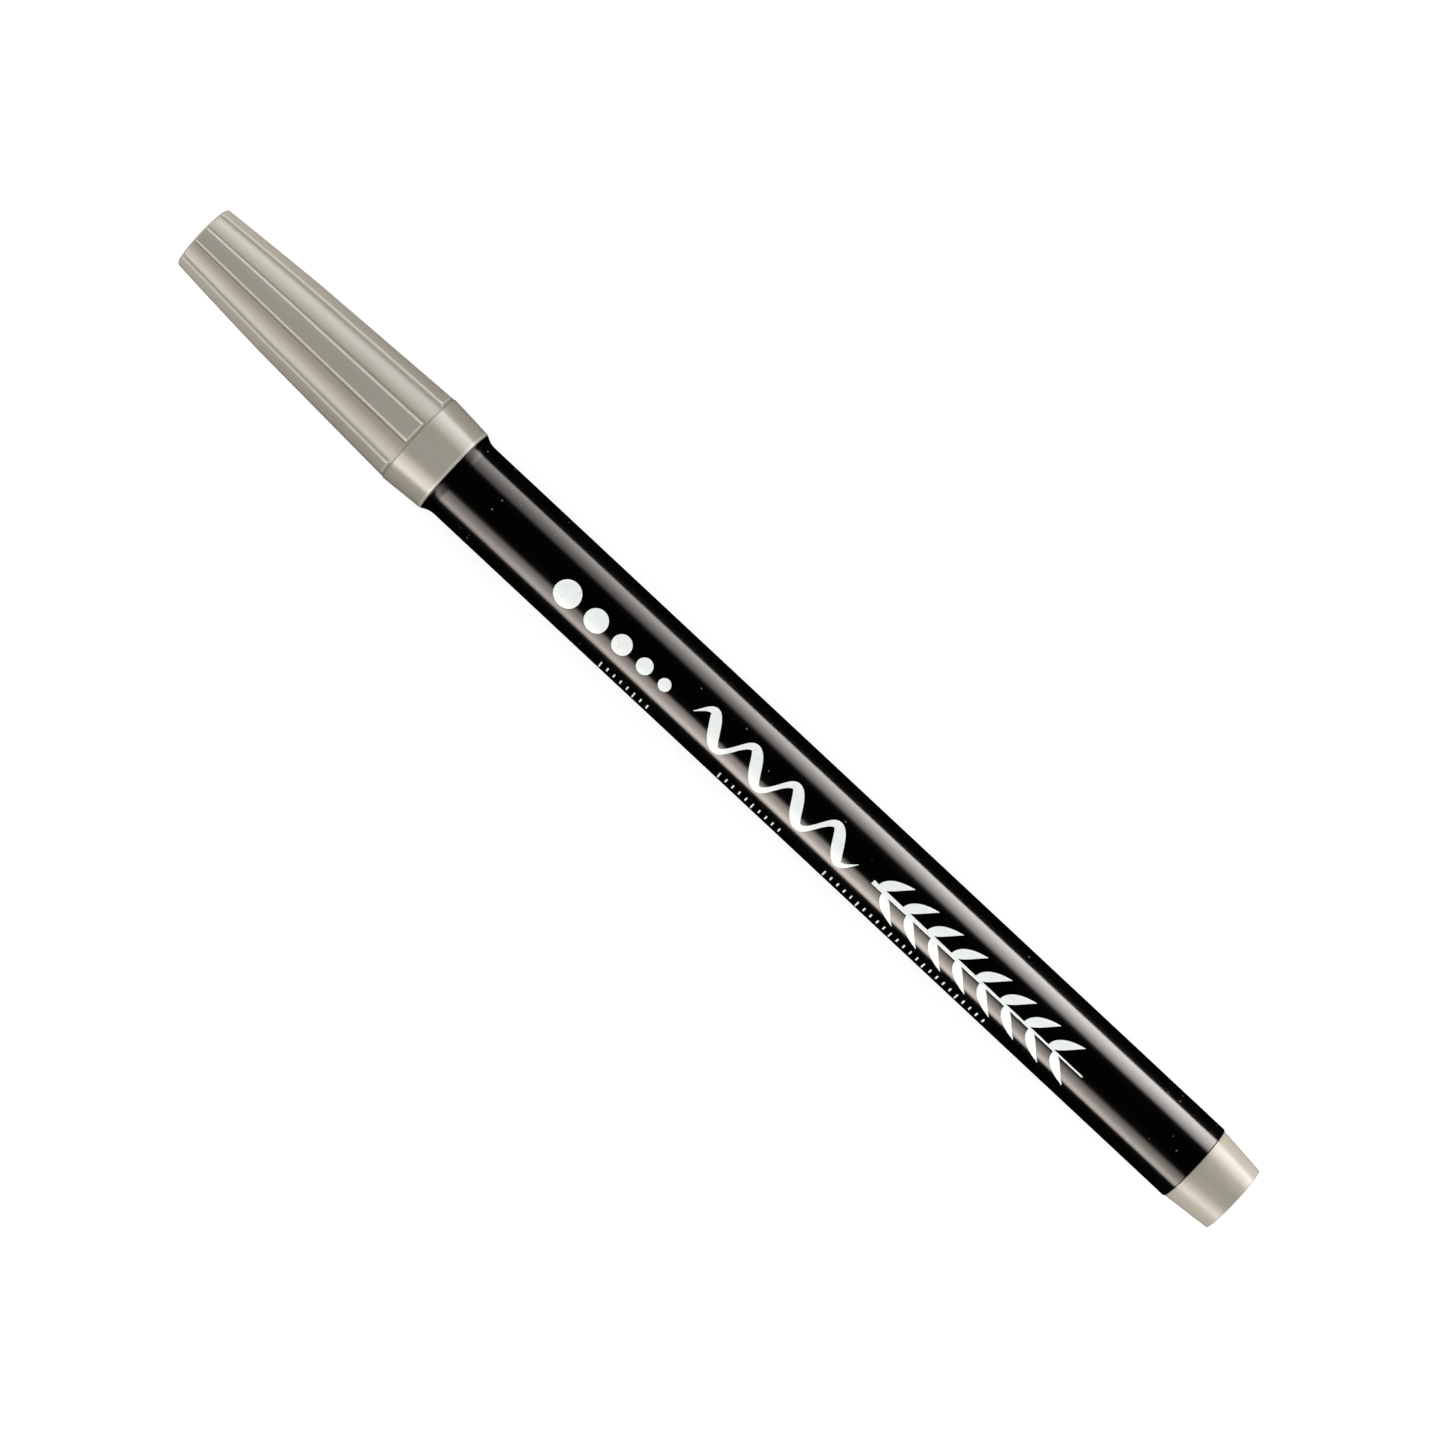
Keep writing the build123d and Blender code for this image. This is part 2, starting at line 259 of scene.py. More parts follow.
def start_material(name, roughness, specular=0.5):
    """A new material as (material, its node tree, its shader, the piece's own coordinates)."""
    material = bpy.data.materials.new(name)
    material.use_nodes = True
    tree = material.node_tree
    shader = tree.nodes["Principled BSDF"]
    shader.inputs["Roughness"].default_value = roughness
    shader.inputs["Specular IOR Level"].default_value = specular
    coords = node(tree, "ShaderNodeTexCoord").outputs["Object"]
    return material, tree, shader, coords


def noise(tree, coords, size, detail=3.0, stretch=(1, 1, 1)):
    """Noise whose features are about size metres across, drawn out by stretch along X, Y and Z."""
    scaled = node(
        tree,
        "ShaderNodeMapping",
        {"Vector": coords, "Scale": tuple(1 / s for s in stretch)},
    )
    made = node(
        tree,
        "ShaderNodeTexNoise",
        {"Vector": scaled.outputs["Vector"], "Scale": 1 / size, "Detail": detail},
    )
    return made.outputs["Fac"]


def levels(tree, value, low, high, out_low=0.0, out_high=1.0):
    """value, from low to high, spread smoothly over out_low to out_high."""
    made = node(
        tree,
        "ShaderNodeMapRange",
        {"Value": value, "From Min": low, "From Max": high, "To Min": out_low, "To Max": out_high},
        interpolation_type="SMOOTHSTEP",
    )
    return made.outputs["Result"]


MIX_SHARE, MIX_ONE, MIX_TWO, MIX_RESULT = 0, 6, 7, 2  # a Mix node's sockets when it mixes colours


def mixed(tree, share, one, two):
    """Colour one where share is 0, and two where it is 1."""
    made = node(tree, "ShaderNodeMix", data_type="RGBA")
    for socket, value in ((MIX_SHARE, share), (MIX_ONE, one), (MIX_TWO, two)):
        if isinstance(value, bpy.types.NodeSocket):
            tree.links.new(value, made.inputs[socket])
        else:
            made.inputs[socket].default_value = value
    return made.outputs[MIX_RESULT]


def maths(tree, operation, *values):
    """The result of a maths node on numbers or other nodes' outputs."""
    return node(tree, "ShaderNodeMath", dict(enumerate(values)), operation=operation).outputs["Value"]


def line_at(tree, value, centre, spread):
    """1 where value is at the centre, falling smoothly to 0 at this distance on either side."""
    away = maths(tree, "ABSOLUTE", maths(tree, "SUBTRACT", value, centre))
    return levels(tree, away, 0.0, spread, 1.0, 0.0)


def bumped(tree, shader, height, distance, strength=1.0):
    """Feeds a height of 0 to 1 to the shader as a bump that is distance metres deep."""
    bump = node(
        tree,
        "ShaderNodeBump",
        {"Height": height, "Distance": distance, "Strength": strength},
    )
    tree.links.new(bump.outputs["Normal"], shader.inputs["Normal"])


def feed(tree, shader, **sockets):
    """Links outputs to the shader's inputs, named with _ for each space."""
    for name, output in sockets.items():
        tree.links.new(output, shader.inputs[name.replace("_", " ")])


def rgb(red, green, blue):
    return (red, green, blue, 1.0)


def from_axis(tree, coords):
    """Each point's (x, y, height over the marker's axis)."""
    moved = node(
        tree,
        "ShaderNodeVectorMath",
        {0: coords, 1: (0, 0, AXIS_HEIGHT)},
        operation="SUBTRACT",
    )
    parts = node(tree, "ShaderNodeSeparateXYZ", {"Vector": moved.outputs["Vector"]}).outputs
    return parts["X"], parts["Y"], parts["Z"]


def cap_edges(tree, coords):
    """Shares of (painted shade, painted highlight) on the cap: painted shade at the feet of ribs and
    collar, painted highlights on the raised edges, the rib ends and the rim.

    Distances are from the closed end, and angles from the middle of the nearest rib.
    """
    foot_angle, foot_spread = math.radians(15.3), math.radians(2.2)
    crest_angle, crest_spread = math.radians(12.3), math.radians(2.0)
    top_angle, side_angle = math.radians(12.5), math.radians(14)
    flank_start, flank_full = 0.02 * MM, 0.3 * MM
    flank_fade = 0.05 * MM
    rib_end_at, rib_end_spread = FLANK_LENGTH - 0.14 * MM, 0.16 * MM
    step_at, step_spread = COLLAR_START - 0.06 * MM, 0.16 * MM
    rim_at, rim_spread = CAP_RIM_X - CAP_END_X - 0.2 * MM, 0.22 * MM
    # Strengths of the painted shade at the rib feet and the collar's step, and of the painted highlight on
    # the edges
    foot_shade, step_shade, edge_highlight = 0.75, 0.45, 0.5
    # Both show only outside this cone, which runs inside the cap's wall and passes wide of the plug
    inner_radius, inner_slope, inner_fade = 3.5 * MM, 0.03, 0.05 * MM

    x, across, up = from_axis(tree, coords)
    along = maths(tree, "SUBTRACT", x, CAP_END_X)
    radius_squared = maths(tree, "MULTIPLY_ADD", across, across, maths(tree, "MULTIPLY", up, up))
    radius = maths(tree, "SQRT", radius_squared)
    from_cone = maths(tree, "MULTIPLY_ADD", along, -inner_slope, radius)
    outside = levels(tree, from_cone, inner_radius, inner_radius + inner_fade)
    angle = maths(tree, "SUBTRACT", maths(tree, "ARCTAN2", across, up), RIB_TURN)
    from_middle = maths(tree, "PINGPONG", angle, math.pi / RIB_COUNT)
    flank = maths(
        tree,
        "MULTIPLY",
        levels(tree, along, flank_start, flank_full),
        levels(tree, along, FLANK_LENGTH - flank_fade, FLANK_LENGTH, 1.0, 0.0),
    )
    foot = maths(tree, "MULTIPLY", flank, line_at(tree, from_middle, foot_angle, foot_spread))
    crest = maths(tree, "MULTIPLY", flank, line_at(tree, from_middle, crest_angle, crest_spread))
    rib_end = maths(
        tree,
        "MULTIPLY",
        line_at(tree, along, rib_end_at, rib_end_spread),
        levels(tree, from_middle, top_angle, side_angle, 1.0, 0.0),
    )
    step = line_at(tree, along, step_at, step_spread)
    rim = line_at(tree, along, rim_at, rim_spread)
    # Painted shade: darker at the feet of the ribs and at the collar's step, where shade falls
    painted_shade = maths(
        tree,
        "MAXIMUM",
        maths(tree, "MULTIPLY", foot, foot_shade),
        maths(tree, "MULTIPLY", step, step_shade),
    )
    # Painted highlight: paler on the rib crests, rib ends and rim, where the edges catch the light
    lit_edges = maths(tree, "MAXIMUM", crest, maths(tree, "MAXIMUM", rib_end, rim))
    painted_highlight = maths(tree, "MULTIPLY", lit_edges, edge_highlight)
    return maths(tree, "MULTIPLY", outside, painted_shade), maths(tree, "MULTIPLY", outside, painted_highlight)


def cap_plastic():
    """Warm grey satin plastic with faint flow marks and fine grain, and with painted shade and painted
    highlights on the cap.
    """
    material, tree, shader, coords = start_material("cap_plastic", 0.3)
    flow = noise(tree, coords, 2.4 * MM, 4.0, (9, 1, 1))
    cloud = noise(tree, coords, 9 * MM, 2.0)
    grain = noise(tree, coords, 0.13 * MM, 2.0)
    base = mixed(tree, levels(tree, flow, 0.3, 0.7), rgb(0.313, 0.284, 0.231), rgb(0.326, 0.297, 0.243))
    base = mixed(tree, levels(tree, cloud, 0.35, 0.75, 0.0, 0.5), base, rgb(0.3, 0.272, 0.222))
    painted_shade, painted_highlight = cap_edges(tree, coords)
    # Painted shade: a dark colour at the feet of the ribs and the collar's step
    base = mixed(tree, painted_shade, base, rgb(0.14, 0.125, 0.1))
    # Painted highlight: a pale colour on the rib crests, rib ends and rim
    base = mixed(tree, painted_highlight, base, rgb(0.56, 0.53, 0.47))
    feed(tree, shader, Base_Color=base, Roughness=levels(tree, flow, 0.25, 0.75, 0.2, 0.26))
    shader.inputs["IOR"].default_value = 1.59
    shader.inputs["Specular Tint"].default_value = rgb(0.86, 0.96, 1.0)
    bumped(tree, shader, grain, 0.006 * MM, 0.35)
    return material


def dust_specks(tree, along, angle):
    """1 on scattered specks of dust on the barrel, more near its two ends, and none under the cap.

    angle is the angle round the axis.
    """
    cell = 1.5 * MM
    core, edge = 0.03, 0.07  # a speck's radius, as a share of a cell, where its size is 1
    least_size = 0.4
    threshold, more = 0.96, 0.25  # cells whose chance passes the threshold hold a speck
    end_zone, end_fade = 6 * MM, 9 * MM
    cap_clearance = 0.3 * MM

    around = maths(tree, "MULTIPLY", angle, BARREL_RADIUS)
    unrolled = node(tree, "ShaderNodeCombineXYZ", {"X": along, "Y": around}).outputs["Vector"]
    specks = node(
        tree,
        "ShaderNodeTexVoronoi",
        {"Vector": unrolled, "Scale": 1 / cell},
        feature="F1",
        voronoi_dimensions="2D",
    )
    chance = node(tree, "ShaderNodeSeparateColor", {"Color": specks.outputs["Color"]}).outputs
    size = maths(tree, "ADD", chance["Green"], least_size)
    dust = levels(tree, maths(tree, "DIVIDE", specks.outputs["Distance"], size), core, edge, 1.0, 0.0)
    near_ends = maths(
        tree,
        "MAXIMUM",
        levels(tree, along, SHOULDER_X + end_zone, SHOULDER_X + end_fade, more, 0.0),
        levels(tree, along, BARREL_REAR_X - end_fade, BARREL_REAR_X - end_zone, 0.0, more),
    )
    kept = maths(tree, "GREATER_THAN", maths(tree, "ADD", chance["Red"], near_ends), threshold)
    uncovered = maths(tree, "GREATER_THAN", along, SHOULDER_X + cap_clearance)
    return maths(tree, "MULTIPLY", dust, maths(tree, "MULTIPLY", kept, uncovered))


def barrel_plastic():
    """Glossy black plastic with hairline scuffs, a few specks of dust and a dull band beside the cap."""
    material, tree, shader, coords = start_material("barrel_plastic", 0.17)
    gloss_level, dulling = 0.5, 0.3
    band_at, band_spread = SHOULDER_X + 0.9 * MM, 0.7 * MM
    smear = noise(tree, coords, 3.5 * MM, 3.0, (6, 1, 1))
    hairs = noise(tree, coords, 0.09 * MM, 2.0, (26, 1, 1))
    along, across, up = from_axis(tree, coords)
    dust = dust_specks(tree, along, maths(tree, "ARCTAN2", across, up))
    base = mixed(tree, dust, rgb(0.0004, 0.0004, 0.0004), rgb(0.13, 0.13, 0.127))
    band = line_at(tree, along, band_at, band_spread)
    gloss = maths(tree, "MULTIPLY_ADD", band, -dulling, gloss_level)
    feed(tree, shader, Base_Color=base, Specular_IOR_Level=gloss)
    feed(tree, shader, Roughness=levels(tree, smear, 0.25, 0.75, 0.12, 0.16))
    bumped(tree, shader, hairs, 0.0012 * MM, 0.3)
    return material


def holder_plastic():
    """Satin black plastic of the nose, with fine turning marks from the mould."""
    material, tree, shader, coords = start_material("holder_plastic", 0.34)
    rings = noise(tree, coords, 0.12 * MM, 2.0, (1, 14, 14))
    cloud = noise(tree, coords, 2 * MM, 3.0)
    base = mixed(tree, levels(tree, cloud, 0.3, 0.7), rgb(0.007, 0.007, 0.007), rgb(0.012, 0.0118, 0.0115))
    feed(tree, shader, Base_Color=base, Roughness=levels(tree, cloud, 0.3, 0.7, 0.3, 0.4))
    bumped(tree, shader, rings, 0.003 * MM, 0.4)
    return material


def liner_plastic():
    """Milky, slightly waxy plastic."""
    material, tree, shader, coords = start_material("liner_plastic", 0.42)
    cloud = noise(tree, coords, 2.5 * MM, 3.0)
    base = mixed(tree, levels(tree, cloud, 0.3, 0.7), rgb(0.74, 0.74, 0.7), rgb(0.8, 0.8, 0.77))
    feed(tree, shader, Base_Color=base, Roughness=levels(tree, cloud, 0.3, 0.7, 0.38, 0.46))
    bumped(tree, shader, noise(tree, coords, 0.2 * MM), 0.004 * MM, 0.4)
    shader.inputs["Subsurface Weight"].default_value = 0.3
    shader.inputs["Subsurface Radius"].default_value = (MM, MM, MM)
    shader.inputs["Subsurface Scale"].default_value = 1.0
    return material


def fibre(name, pale, dark, strand, stretch, depth):
    """Fibres that run along the marker, in paler and darker strands that are drawn out by stretch."""
    material, tree, shader, coords = start_material(name, 0.88, 0.25)
    strands = noise(tree, coords, strand, 4.0, (stretch, 1, 1))
    blotch = noise(tree, coords, 1.6 * MM, 3.0)
    base = mixed(tree, levels(tree, strands, 0.3, 0.7), rgb(*dark), rgb(*pale))
    base = mixed(tree, levels(tree, blotch, 0.4, 0.75, 0.0, 0.35), base, rgb(*dark))
    feed(tree, shader, Base_Color=base, Roughness=levels(tree, strands, 0.3, 0.7, 0.94, 0.8))
    bumped(tree, shader, strands, depth, 0.8)
    shader.inputs["Sheen Weight"].default_value = 0.15
    return material


def creased_plastic(name, color, roughness):
    """Thin pale plastic with faint creases."""
    material, tree, shader, coords = start_material(name, roughness)
    lightening, rough_spread = 1.06, 0.06
    crease = noise(tree, coords, 0.9 * MM, 4.0, (8, 1, 1))
    paler = tuple(min(1.0, lightening * c) for c in color)
    base = mixed(tree, levels(tree, crease, 0.3, 0.7), rgb(*color), rgb(*paler))
    rough = levels(tree, crease, 0.3, 0.7, roughness - rough_spread, roughness + rough_spread)
    feed(tree, shader, Base_Color=base, Roughness=rough)
    bumped(tree, shader, crease, 0.01 * MM, 0.4)
    return material


def print_ink():
    """Opaque off-white ink, a little thin in places."""
    material, tree, shader, coords = start_material("print_ink", 0.4)
    thin = noise(tree, coords, 0.5 * MM, 4.0)
    base = mixed(tree, levels(tree, thin, 0.58, 0.8), rgb(0.8, 0.83, 0.8), rgb(0.6, 0.62, 0.6))
    feed(tree, shader, Base_Color=base, Roughness=levels(tree, thin, 0.3, 0.7, 0.34, 0.46))
    bumped(tree, shader, thin, 0.002 * MM, 0.3)
    return material


# ---- Cap ----


def rib_edge():
    """A rib's edge in section, from foot to top: (distance in from the foot, share of the height).

    A hollow arc leads from the foot to a slope, and a wider round one leads from the slope to the top.
    """
    foot_steps, top_steps = 3, 8
    points = []
    for i in range(foot_steps + 1):
        angle = RIB_EDGE_SLOPE * i / foot_steps
        height = RIB_FOOT_RADIUS * (1 - math.cos(angle))
        points.append((RIB_FOOT_RADIUS * math.sin(angle), height / RIB_HEIGHT))
    slope_top = 1 - RIB_EDGE_RADIUS * (1 - math.cos(RIB_EDGE_SLOPE)) / RIB_HEIGHT
    slope_rise = (slope_top - points[-1][1]) * RIB_HEIGHT
    top = points[-1][0] + slope_rise / math.tan(RIB_EDGE_SLOPE) + RIB_EDGE_RADIUS * math.sin(RIB_EDGE_SLOPE)
    for i in range(top_steps + 1):
        angle = RIB_EDGE_SLOPE * (1 - i / top_steps)
        drop = RIB_EDGE_RADIUS * (1 - math.cos(angle))
        points.append((top - RIB_EDGE_RADIUS * math.sin(angle), 1 - drop / RIB_HEIGHT))
    return points


def flank_radius(t):
    """Radius over the ribs, t from the closed end: an arc as far as the bend, then a straight cone."""
    if t > FLANK_BEND:
        share = (t - FLANK_BEND) / (FLANK_LENGTH - FLANK_BEND)
        return FLANK_BEND_RADIUS + share * (RIB_TOP_RADIUS - FLANK_BEND_RADIUS)
    share = t / FLANK_BEND
    chord = FLANK_END_RADIUS + share * (FLANK_BEND_RADIUS - FLANK_END_RADIUS)
    return chord + 4 * FLANK_BULGE * share * (1 - share)


def rib_share(t):
    """How far the ribs have risen, t from the closed end: smoothly at both ends, steeper by the collar."""
    rise = max(0.0, min(1.0, t / RIB_NOSE, (FLANK_LENGTH - t) / RIB_TAIL))
    return rise * rise * (3 - 2 * rise)


def make_cap_shell(material):
    collar_x, end_wall_x = CAP_END_X + COLLAR_START, CAP_END_X + 1.3 * MM
    collar, rim, bore, pocket = 5.32 * MM, 4.98 * MM, 4.2 * MM, 2.9 * MM
    groove_length, groove_rise = 0.08 * MM, 0.004 * MM  # at the foot of the collar's step
    gate_radius, gate_depth = 0.55 * MM, 0.06 * MM
    end_length = 0.8 * MM  # from the closed end to where the rings spread out
    flank_rings, tail_rings = 47, 8
    end = rounded(
        [
            (CAP_END_X + gate_depth, 0, 0),
            (CAP_END_X + gate_depth, gate_radius - gate_depth, 0.03 * MM),
            (CAP_END_X, gate_radius, 0.03 * MM),
            (CAP_END_X, flank_radius(0) - RIB_HEIGHT, 0.3 * MM),
            (CAP_END_X + end_length, flank_radius(end_length) - RIB_HEIGHT, 0),
        ]
    )
    run = FLANK_LENGTH - RIB_TAIL - end_length
    flank = [end_length + i * run / flank_rings for i in range(1, flank_rings + 1)]
    flank += [FLANK_LENGTH - RIB_TAIL * (1 - i / tail_rings) for i in range(1, tail_rings + 1)]
    flank = [(CAP_END_X + t, flank_radius(t) - RIB_HEIGHT) for t in flank]
    outside = [(x, r, rib_share(x - CAP_END_X)) for x, r in filled_in(end, 0.15 * MM) + flank]
    rest = rounded(
        [
            flank[-1] + (0,),
            (collar_x - groove_length, flank[-1][1] + groove_rise, 0.05 * MM),
            (collar_x, collar, 0.05 * MM),
            (CAP_RIM_X, rim, 0.12 * MM),
            (CAP_RIM_X, bore, 0.12 * MM),
            (LINER_MOUTH_X, bore, 0.05 * MM),
            (LINER_MOUTH_X, LINER_SEAT_RADIUS, 0.03 * MM),
            (LINER_BACK_X, LINER_SEAT_RADIUS, 0.05 * MM),
            (LINER_BACK_X, pocket, 0.05 * MM),
            (end_wall_x, pocket, 0.3 * MM),
            (end_wall_x, 0, 0),
        ]
    )
    edge = [(distance / RIB_MEAN_RADIUS, share) for distance, share in rib_edge()]
    centres = [RIB_TURN + 2 * math.pi * i / RIB_COUNT for i in range(RIB_COUNT)]
    columns = lifted_columns(centres, RIB_HALF_WIDTH, edge, math.radians(2))
    outline = outside + filled_in(rest, 0.5 * MM)[1:]
    shell = turned("cap_shell_turned", outline, columns, RIB_HEIGHT)
    return place(shell, "cap", "cap_plastic", material, "cap_shell")


def make_cap_liner(material):
    radius, bore = (liner_high.z - liner_low.z) / 2, 3.05 * MM
    wall, lead_in = radius - bore, 0.2 * MM
    outline = rounded(
        [
            (LINER_BACK_X, 0, 0),
            (LINER_BACK_X, radius, 0.12 * MM),
            (LINER_MOUTH_X, radius, 0.06 * MM),
            (LINER_MOUTH_X, bore + lead_in, 0.06 * MM),
            (LINER_MOUTH_X - lead_in, bore, 0.08 * MM),
            (LINER_BACK_X + wall, bore, 0.5 * MM),
            (LINER_BACK_X + wall, 0, 0),
        ]
    )
    liner = turned("cap_liner_turned", filled_in(outline, 1 * MM), even_columns(128))
    return place(liner, "cap", "liner_plastic", material, "cap_liner")


# ---- Barrel ----


def concave_flare(start_x, start_radius, end_x, end_radius, steps=12):
    """An arc in from a rim that meets the cylinder behind it without an edge."""
    length, rise = end_x - start_x, start_radius - end_radius
    radius = (length**2 + rise**2) / (2 * rise)
    points = []
    for i in range(steps + 1):
        along = length * (1 - i / steps)
        points.append((end_x - along, end_radius + radius - math.sqrt(radius**2 - along**2)))
    return points


def make_barrel(material):
    neck, neck_bore, chamfer = 4.12 * MM, 3.45 * MM, 0.2 * MM
    bead, bead_x, bead_half_width = 4.17 * MM, SHOULDER_X - 3.5 * MM, 0.45 * MM
    spline_start, spline_end = SHOULDER_X + 1 * MM, PLUG_FRONT_X - 1 * MM
    spline_radius, spline_half_width, spline_run_out = 3.11 * MM, 0.3 * MM, 0.1 * MM
    flare_end_x = SHOULDER_X + 1.4 * MM
    flare = concave_flare(SHOULDER_X, SHOULDER_RADIUS, flare_end_x, BARREL_RADIUS)
    front = rounded(
        [
            (SHOULDER_X, neck_bore, 0),
            (NECK_FRONT_X, neck_bore, 0.1 * MM),
            (NECK_FRONT_X, neck - chamfer, 0.08 * MM),
            (NECK_FRONT_X + chamfer, neck, 0.1 * MM),
            (bead_x - bead_half_width, neck, 0.15 * MM),
            (bead_x, bead, 0.4 * MM),
            (bead_x + bead_half_width, neck, 0.15 * MM),
            (SHOULDER_X, neck, 0.04 * MM),
            (SHOULDER_X, SHOULDER_RADIUS, 0.04 * MM),
            flare[1] + (0,),
        ]
    )
    rear = rounded(
        [
            flare[-1] + (0,),
            (BARREL_REAR_X, BARREL_RADIUS, 0.1 * MM),
            (BARREL_REAR_X, BARREL_BORE_RADIUS, 0.06 * MM),
            (spline_end + spline_run_out, BARREL_BORE_RADIUS, 0),
        ]
    )[1:]
    inside = [
        (spline_end, BARREL_BORE_RADIUS, 1.0),
        (spline_start, BARREL_BORE_RADIUS, 1.0),
        (spline_start - spline_run_out, BARREL_BORE_RADIUS, 0.0),
        (SHOULDER_X, BARREL_BORE_RADIUS, 0.0),
    ]
    foot = 0.01 * MM / BARREL_BORE_RADIUS
    edge = ((-foot, 0.0), (foot, 1.0))
    centres = [math.radians(45 + 90 * i) for i in range(4)]
    columns = lifted_columns(centres, spline_half_width / BARREL_BORE_RADIUS, edge, 2 * math.pi / SEGMENTS)
    outside = filled_in(front + flare[2:] + rear, 4 * MM)
    barrel = turned("barrel_turned", outside + inside, columns, spline_radius - BARREL_BORE_RADIUS)
    return place(barrel, "barrel", "barrel_plastic", material, "barrel")


def make_nib_holder(material):
    bore, lead_in = 1.62 * MM, 0.05 * MM
    vent_depth, vent_half_width = 0.3 * MM, 0.25 * MM
    flange_x, flange = NECK_FRONT_X - 1 * MM, 3.85 * MM
    seat_x, seat = flange_x - 4.3 * MM, 3.0 * MM
    tip, spigot = 2.2 * MM, 3.43 * MM
    cup, cup_depth = 2.6 * MM, 1.5 * MM
    outer = rounded(
        [
            (NOSE_FRONT_X, bore + lead_in, 0),
            (NOSE_FRONT_X, tip, 0.25 * MM),
            (seat_x, seat, 0.3 * MM),
            (flange_x, seat, 0.12 * MM),
            (flange_x, flange, 0.1 * MM),
            (NECK_FRONT_X, flange, 0.05 * MM),
            (NECK_FRONT_X, spigot, 0.03 * MM),
            (HOLDER_REAR_X, spigot, 0.1 * MM),
            (HOLDER_REAR_X, cup, 0),
        ]
    )
    outline = [(x, r, 1.0 if i == 0 else 0.0) for i, (x, r) in enumerate(outer)]
    outline += [(HOLDER_REAR_X - cup_depth, bore, 1.0), (NOSE_FRONT_X + lead_in, bore, 1.0)]
    foot = 0.02 * MM / bore
    edge = ((-foot, 0.0), (0.0, 0.5), (foot, 1.0))
    centres = [math.radians(120 * i) for i in range(3)]
    columns = lifted_columns(centres, vent_half_width / bore, edge, math.radians(3))
    holder = turned("nib_holder_turned", filled_in(outline, 1 * MM), columns, vent_depth)
    return place(holder, "barrel", "holder_plastic", material, "nib_holder")


def make_brush_nib(material):
    """The nib, with its fibres as shallow flutes."""
    exposed = NOSE_FRONT_X - NIB_POINT_X
    point, point_steps, curve_steps = 0.16 * MM, 5, 6
    stem, tail_length, tail = 1.59 * MM, 1.2 * MM, 0.9 * MM
    flutes, flute_depth = 64, 0.012 * MM
    outline = [(NIB_POINT_X, 0)]
    for i in range(1, point_steps):
        angle = math.pi / 2 * i / point_steps
        outline.append((NIB_POINT_X + point * (1 - math.cos(angle)), point * math.sin(angle)))
    outline += smooth_line(
        [
            (NIB_POINT_X + point, point),
            (NIB_POINT_X + 0.16 * exposed, 0.66 * MM),
            (NIB_POINT_X + 0.32 * exposed, 1.09 * MM),
            (NIB_POINT_X + 0.48 * exposed, 1.4 * MM),
            (NIB_POINT_X + 0.64 * exposed, 1.61 * MM),
            (NIB_POINT_X + 0.8 * exposed, 1.69 * MM),
            (NOSE_FRONT_X, 1.6 * MM),
        ],
        curve_steps,
    )
    outline += [
        (NOSE_FRONT_X + 0.3 * MM, stem),
        (NIB_REAR_X - tail_length, stem),
        (NIB_REAR_X, tail),
        (NIB_REAR_X, 0),
    ]
    columns = [(math.pi * i / flutes, float(i % 2)) for i in range(2 * flutes)]
    fluted = [(x, r, min(1.0, r / MM)) for x, r in filled_in(outline, 1 * MM)]
    nib = turned("brush_nib_turned", fluted, columns, -flute_depth)
    return place(nib, "barrel", "nib_fibre", material, "brush_nib")


def make_end_plug(material):
    spigot, pocket, chamfer = 3.58 * MM, 2.7 * MM, 0.3 * MM
    head, end = 4.38 * MM, 3.88 * MM
    head_x, pocket_x = BARREL_REAR_X + 0.01 * MM, PLUG_END_X - 1.6 * MM  # the head just clears the barrel
    gate_radius, gate_depth = 0.6 * MM, 0.08 * MM
    ring_length, ring_depth = 0.03 * MM, 0.012 * MM
    ring_x = PLUG_END_X - PLUG_RING
    ring_share = (ring_x - BARREL_REAR_X) / (PLUG_END_X - BARREL_REAR_X)
    ring_radius = head + ring_share * (end - head)
    outline = rounded(
        [
            (PLUG_END_X - gate_depth, 0, 0),
            (PLUG_END_X - gate_depth, gate_radius - gate_depth, 0.03 * MM),
            (PLUG_END_X, gate_radius, 0.03 * MM),
            (PLUG_END_X, end, 0.1 * MM),
            (ring_x + ring_length, ring_radius - ring_depth, 0.02 * MM),
            (ring_x, ring_radius, 0.02 * MM),
            (head_x, head, 0.06 * MM),
            (head_x, spigot, 0.03 * MM),
            (PLUG_FRONT_X + chamfer, spigot, 0.05 * MM),
            (PLUG_FRONT_X, spigot - chamfer, 0.05 * MM),
            (PLUG_FRONT_X, pocket, 0.05 * MM),
            (pocket_x, pocket, 0.3 * MM),
            (pocket_x, 0, 0),
        ]
    )
    plug = turned("end_plug_turned", filled_in(outline, 0.5 * MM))
    return place(plug, "barrel", "cap_plastic", material, "end_plug")


# ---- Print on the barrel: a plain ornament of brush strokes ----

PRINT_TOP = 0.014 * MM  # above the barrel's surface
PRINT_SINK = 0.02 * MM  # below it


def on_barrel(x, around, lift):
    """A point at x and this far round the barrel from its top towards +Y, lifted off its surface."""
    angle = around / BARREL_RADIUS
    radius = BARREL_RADIUS + lift
    return (x, radius * math.sin(angle), AXIS_HEIGHT + radius * math.cos(angle))


